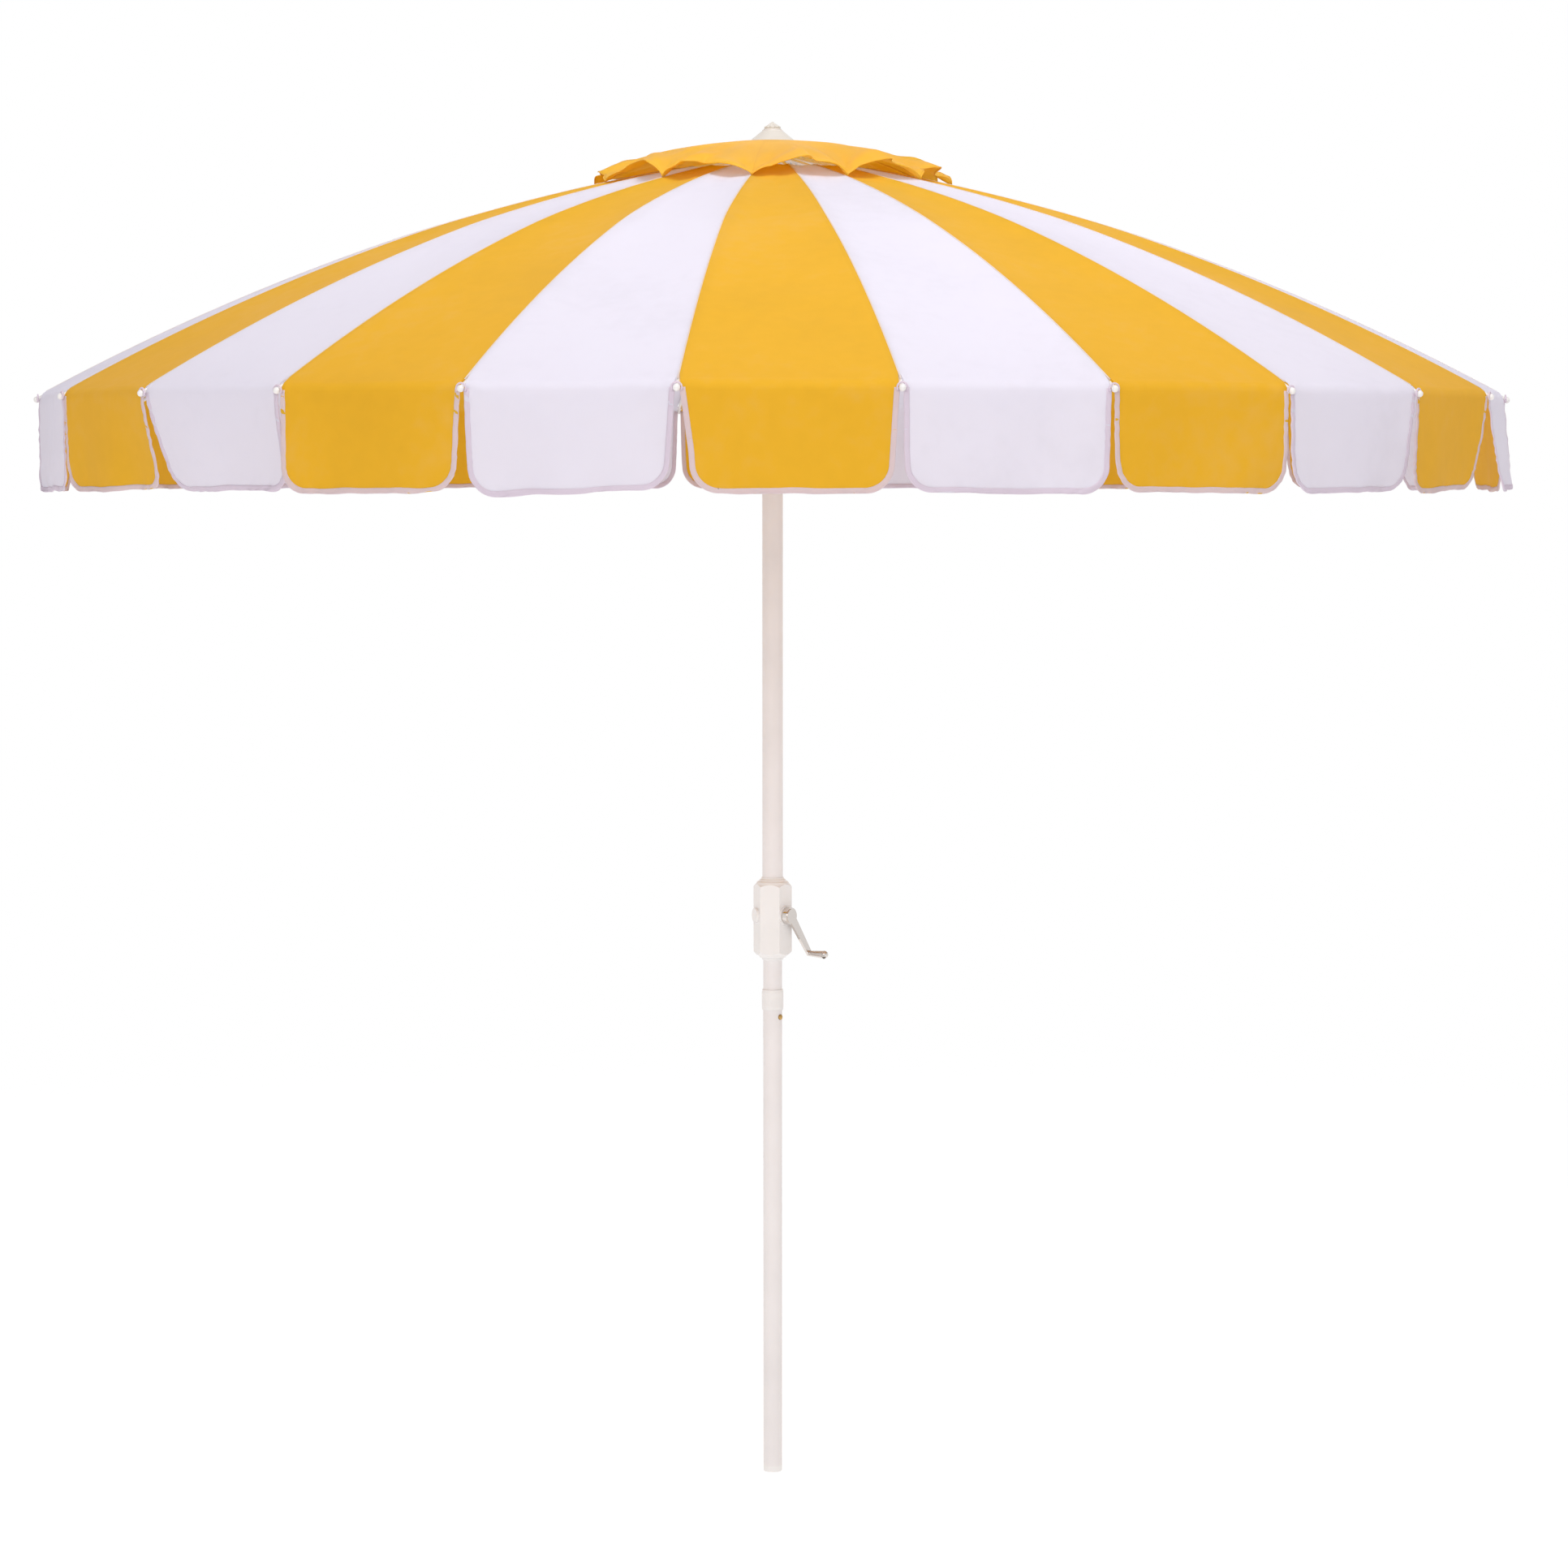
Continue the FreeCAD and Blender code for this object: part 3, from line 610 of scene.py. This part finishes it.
def add_binding(patch, index, hang):
    """Folded tape sewn over the flap's edge. It follows the cloth, and stands proud on both faces."""
    border = flap_border(hang)
    last = len(border) - 1
    section = [(0.0, 1), (0.3, 1), (0.7, 1), (1.0, 1), (1.04, 0),
               (1.0, -1), (0.7, -1), (0.3, -1), (0.0, -1)]
    rings = []
    for k, (sideways, depth) in enumerate(border):
        along = Vector(border[min(k + 1, last)]) - Vector(border[max(k - 1, 0)])
        inward = Vector((along.y, -along.x)).normalized()

        def spot(inset, extra=(0, 0)):
            return flap_spot(index, hang, sideways + inward.x * inset + extra[0],
                             depth + inward.y * inset + extra[1])

        middle = spot(BINDING_WIDTH / 2)
        across = spot(BINDING_WIDTH / 2, (0.002, 0)) - middle
        up = spot(BINDING_WIDTH / 2, (0, -0.004)) - middle
        normal = across.cross(up).normalized() * BINDING_THICKNESS / 2
        edge = spot(0)
        out = (edge - spot(0.002)).normalized() * BINDING_ROUND
        ring = [edge + out]
        ring += [spot(share * BINDING_WIDTH) + normal * face for share, face in section]
        rings.append(ring)
    first = len(patch.verts)
    patch.add_grid(rings, PIPING_MARK, closed=True)
    patch.close_ends(first, len(rings), len(rings[0]), PIPING_MARK)


def add_seam(patch, index):
    """Narrow tape over the seam, from the vent hole to the ball tip."""
    path = [seam_point(index, r, 0.0004) for r in roof_radii()]
    patch.add_tape(path, SEAM_TAPE_WIDTH, SEAM_TAPE_THICKNESS, TAPE_MARK)


def add_tip_loop(patch, index):
    """The binding goes round the ball tip in a small loop."""
    azimuth = rib_azimuth(index)
    centre = radial(azimuth) * (TIP_BALL_R - 0.002)
    centre.z = arc_height(TIP_BALL_R, RIB_DEPTH) + 0.0005
    path = []
    for k in range(19):
        turn = math.radians(215 - 250 * k / 18)
        path.append(centre + tangent(azimuth) * math.cos(turn) * TIP_LOOP_R
                    + Vector((0, 0, math.sin(turn) * TIP_LOOP_R)))
    patch.add_tube(path, TIP_LOOP_CORD, 8, PIPING_MARK)


def make_panels():
    rng = random.Random(24)
    panels = []
    for index in range(RIBS):
        chance = Hang(*(rng.uniform(low, high) for low, high in CHANCE_RANGES))
        hang = HANG.get(index + 1, chance)
        rows = panel_rows(index, hang)
        patch = Patch()
        patch.add_cloth(rows, CLOTH, CLOTH_MARK)
        add_binding(patch, index, hang)
        add_seam(patch, index)
        add_tip_loop(patch, index)
        yellow = index % 2 == 0
        name = "panel_%02d_%s" % (index + 1, "yellow" if yellow else "white")
        cloth = cloth_yellow if yellow else cloth_white
        obj = patch.build(name, [cloth, cloth_piping, seam_tape])
        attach(obj, numbered("rib", index))
        fold_to_rib(obj, index, *PANEL_FOLD)
        panels.append(obj)
    return panels


def fold_to_rib(obj, index, keep, lean):
    """Gives the piece its own copy of its mesh."""
    azimuth = rib_azimuth(index)
    middle_r = (SEAM_CROWN[0] + SEAM_TIP[0]) / 2
    anchor = radial(azimuth) * middle_r
    anchor.z = (SEAM_CROWN[1] + SEAM_TIP[1]) / 2 + SEAM_BOW / 2
    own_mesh(obj)


# ---- Vent cap ------------------------------------------------------------------------------
CAP_TIES = RIBS // 2                # the hem is sewn down to every other seam
CAP_STEP = 2 * math.pi / CAP_TIES
CAP_CENTRE_R = 0.074
CAP_TOP = 2.4668
CAP_LOFT = 0.031                    # rise of the hem between two ties
CAP_TIE_GAP = 0.004
CAP_LAP = 0.010                     # share of a sector that is tucked under the next one
CAP_LAP_DROP = 0.0008
CAP_FIRST_TIE = 1                   # the first sector starts from the second rib
CAP_HEM = 0.0012                    # radius of the rolled hem
CAP_FOLD_RISE = 0.0045              # heights of the loose cloth's folds, waves and curls
CAP_WAVE_RISE = 0.010
CAP_CURL_RISE = 0.003
CAP_LIP_DROP = 0.006                # the hem's edge turns down by this much
PULL_RISE = 0.0080                  # height of the folds that fan out from a tie
PULL_REACH = 0.145
PULL_START = 0.040


def pull_folds(u, v, seed):
    """Folds that fan out from a tie. u is the way along the hem, and v the way up the cap."""
    distance = math.hypot(u, v)
    fade = math.exp(-(distance / PULL_REACH) ** 2) * smoothstep(0.0, PULL_START, distance)
    turn = math.atan2(v, u) - math.pi / 2
    return PULL_RISE * fade * math.cos((5.2 + 0.9 * math.sin(seed * 2.3)) * turn)


def cap_point(seed, start, share, edge):
    """share runs from one tie to the next, and edge from the clamped middle to the hem."""
    sway = noise.noise(Vector((seed * 5.1, 0.3, 0.7)))
    inside = min(1.0, max(0.0, share))
    skewed = inside ** (1 + 0.8 * sway)
    arch = math.sin(math.pi * skewed) ** (1.5 - 0.85 * edge ** 2)
    near_tie = min(inside, 1 - inside) * 2
    free = smoothstep(0.0, 0.5, near_tie)
    fold = math.sin(2 * math.pi * (skewed * 1.7 + sway) + seed * 1.7)
    wave = noise.noise(Vector((share * 2.9 + seed * 2.7, edge * 1.6, seed * 1.3)))
    curl = noise.noise(Vector((share * 5.5 + seed * 4.1, edge * 3.0, seed * 9.1)))
    tied = CAP_TOP - arc_height(CAP_EDGE_R) - CAP_TIE_GAP
    height = CAP_TOP - tied * (0.34 * edge + 0.66 * edge ** 1.9)
    height += CAP_LOFT * arch * edge ** 1.9 * (1 + 0.5 * sway)
    height += (fold * CAP_FOLD_RISE + wave * CAP_WAVE_RISE + curl * CAP_CURL_RISE) * free ** 2 * edge ** 1.2
    lip = smoothstep(0.78, 1.0, edge) * free
    height -= lip * CAP_LIP_DROP * (0.5 + wave + fold * 0.5)
    r = CAP_CENTRE_R + (CAP_EDGE_R - CAP_CENTRE_R) * edge
    side_seed = seed if share < 0.5 else seed + 40
    height += pull_folds(near_tie * CAP_STEP * r / 2, CAP_EDGE_R - r, side_seed) * edge * (1 - edge ** 6)
    r += free * edge ** 2 * (0.016 * wave - 0.010 + lip * 0.008 * fold)
    azimuth = start + CAP_STEP * share + free * edge ** 2 * 0.040 * (fold * 0.5 + curl)
    point = radial(azimuth) * r
    point.z = height - CAP_LAP_DROP * (share < 0 or share > 1)
    return point


def make_cap():
    sectors = []
    rings = 28
    columns = 44
    shares = [-CAP_LAP] + [i / columns for i in range(columns + 1)] + [1 + CAP_LAP]
    for tie in range(CAP_TIES):
        left = CAP_FIRST_TIE + 2 * tie
        right = left + 2
        start = rib_azimuth(left)
        rows = [[cap_point(tie + 1, start, share, k / rings) for share in shares]
                for k in range(rings + 1)]
        patch = Patch()
        patch.add_cloth(rows, CLOTH)
        patch.add_tube(rows[-1][1:-1], CAP_HEM, 6)
        obj = patch.build("vent_cap_%02d" % (tie + 1), [cloth_cap_lightened])
        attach(obj, numbered("rib", right))
        fold_to_rib(obj, right, *CAP_FOLD)
        sectors.append(obj)
    return sectors + [make_cap_centre()]


def make_cap_centre():
    """Middle of the cap, clamped between the hub and the finial."""
    inner_r = 0.020
    rings = 8
    columns = 72
    rows = []
    for k in range(rings + 1):
        r = inner_r + (CAP_CENTRE_R - inner_r) * k / rings
        z = CAP_TOP + 0.0004 - 0.0006 * k / rings
        rows.append([radial(2 * math.pi * i / columns) * r + Vector((0, 0, z)) for i in range(columns)])
    patch = Patch()
    patch.add_grid(rows, closed=True, flip=True)
    obj = patch.build("vent_cap_centre", [cloth_cap_lightened])
    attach(obj, "upper_pole")
    return obj


panels = make_panels()
cap = make_cap()
for piece in panels + cap:
    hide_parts("canopy")


# ---- Light, floor and camera ---------------------------------------------------------------
def area_light(name, place, target, size, power):
    data = bpy.data.lights.new(name, "AREA")
    data.shape = "RECTANGLE"
    data.size, data.size_y = size
    data.energy = power
    light = bpy.data.objects.new(name, data)
    light.location = place
    light.rotation_euler = (Vector(target) - Vector(place)).to_track_quat("-Z", "Y").to_euler()
    bpy.context.scene.collection.objects.link(light)


def soft_range(tree, from_min, from_max, to_min, to_max):
    node = tree.nodes.new("ShaderNodeMapRange")
    node.interpolation_type = "SMOOTHSTEP"
    node.inputs["From Min"].default_value = from_min
    node.inputs["From Max"].default_value = from_max
    node.inputs["To Min"].default_value = to_min
    node.inputs["To Max"].default_value = to_max
    return node


def studio_world():
    """Brightest low down in front and behind, and darker overhead. The camera sees plain white."""
    world = bpy.data.worlds.new("studio")
    bpy.context.scene.world = world
    world.use_nodes = True
    tree = world.node_tree
    light = tree.nodes["Background"]
    coords = tree.nodes.new("ShaderNodeTexCoord")
    split = tree.nodes.new("ShaderNodeSeparateXYZ")
    sideways = tree.nodes.new("ShaderNodeMath")
    sideways.operation = "ABSOLUTE"
    fade = soft_range(tree, 0.15, 0.90, 1.16, 0.92)
    overhead = soft_range(tree, 0.10, 0.95, 1.0, 0.24)
    strength = tree.nodes.new("ShaderNodeMath")
    strength.operation = "MULTIPLY"
    backdrop = tree.nodes.new("ShaderNodeBackground")
    backdrop.inputs["Strength"].default_value = 1.0
    backdrop.inputs["Color"].default_value = (1, 1, 1, 1)
    light.inputs["Color"].default_value = (1, 1, 1, 1)
    seen = tree.nodes.new("ShaderNodeLightPath")
    choice = tree.nodes.new("ShaderNodeMixShader")
    tree.links.new(coords.outputs["Generated"], split.inputs[0])
    tree.links.new(split.outputs["X"], sideways.inputs[0])
    tree.links.new(sideways.outputs[0], fade.inputs["Value"])
    tree.links.new(split.outputs["Z"], overhead.inputs["Value"])
    tree.links.new(fade.outputs["Result"], strength.inputs[0])
    tree.links.new(overhead.outputs["Result"], strength.inputs[1])
    tree.links.new(strength.outputs[0], light.inputs["Strength"])
    tree.links.new(seen.outputs["Is Camera Ray"], choice.inputs["Fac"])
    tree.links.new(light.outputs[0], choice.inputs[1])
    tree.links.new(backdrop.outputs[0], choice.inputs[2])
    tree.links.new(choice.outputs[0], tree.nodes["World Output"].inputs["Surface"])


def floor_material():
    """Pale glowing paper that fades out into the backdrop, so that no horizon shows."""
    n = Nodes("floor_paper")
    coords = n.add("ShaderNodeTexCoord")
    grain = n.add("ShaderNodeTexNoise", Scale=220.0, Detail=2.0)
    n.join(coords, "Object", grain, "Vector")
    bump = n.add("ShaderNodeBump", Strength=0.05, Distance=0.0003)
    n.join(grain, "Fac", bump, "Height")
    n.value(bump, "Normal", "Normal")
    n.shader.inputs["Base Color"].default_value = (0.50, 0.50, 0.50, 1)
    n.shader.inputs["Roughness"].default_value = 1.0
    n.shader.inputs["Specular IOR Level"].default_value = 0.0
    n.shader.inputs["Emission Color"].default_value = (1, 1, 1, 1)
    n.shader.inputs["Emission Strength"].default_value = 0.80
    away = n.add("ShaderNodeVectorMath", operation="LENGTH")
    n.join(coords, "Object", away, 0)
    fade = n.add("ShaderNodeMapRange", interpolation_type="SMOOTHSTEP")
    fade.inputs["From Min"].default_value = 1.0
    fade.inputs["From Max"].default_value = 6.0
    n.join(away, "Value", fade, "Value")
    clear = n.add("ShaderNodeBsdfTransparent")
    mix = n.add("ShaderNodeMixShader")
    n.join(fade, "Result", mix, "Fac")
    n.join(n.shader, "BSDF", mix, 1)
    n.join(clear, "BSDF", mix, 2)
    n.join(mix, "Shader", n.output, "Surface")
    return n.material


area_light("key", (-1.4, -7.0, 3.8), (0, 0, 1.9), (3.5, 3), 90)
area_light("top", (0.5, -1.5, 5.2), (0, -0.2, 2.3), (2.2, 2.2), 84)
studio_world()

FLOOR_HALF = 7
floor_corners = [(x * FLOOR_HALF, y * FLOOR_HALF, 0) for x, y in ((-1, -1), (1, -1), (1, 1), (-1, 1))]
floor = new_object("floor", floor_corners, [(0, 1, 2, 3)], [floor_material()])

bpy.context.scene.view_settings.view_transform = "Standard"

DISTANCE = 8.117                    # from the pole's axis
FOCAL = 100.9                       # millimetres, on a 36 mm sensor
EYE_HEIGHT = 1.863
TILT = 0.0706                       # downward, in radians
AROUND = math.radians(-0.54)        # the camera's azimuth
PAN = 0.0026                        # turned past the pole towards +X, in radians
camera_data = bpy.data.cameras.new("camera")
camera_data.sensor_width = 36
camera_data.lens = FOCAL
camera_data.clip_end = 200
camera = bpy.data.objects.new("camera", camera_data)
camera.location = (DISTANCE * math.sin(AROUND), -DISTANCE * math.cos(AROUND), EYE_HEIGHT)
camera.rotation_euler = (math.pi / 2 - TILT, 0, AROUND - PAN)
bpy.context.scene.collection.objects.link(camera)
bpy.context.scene.camera = camera
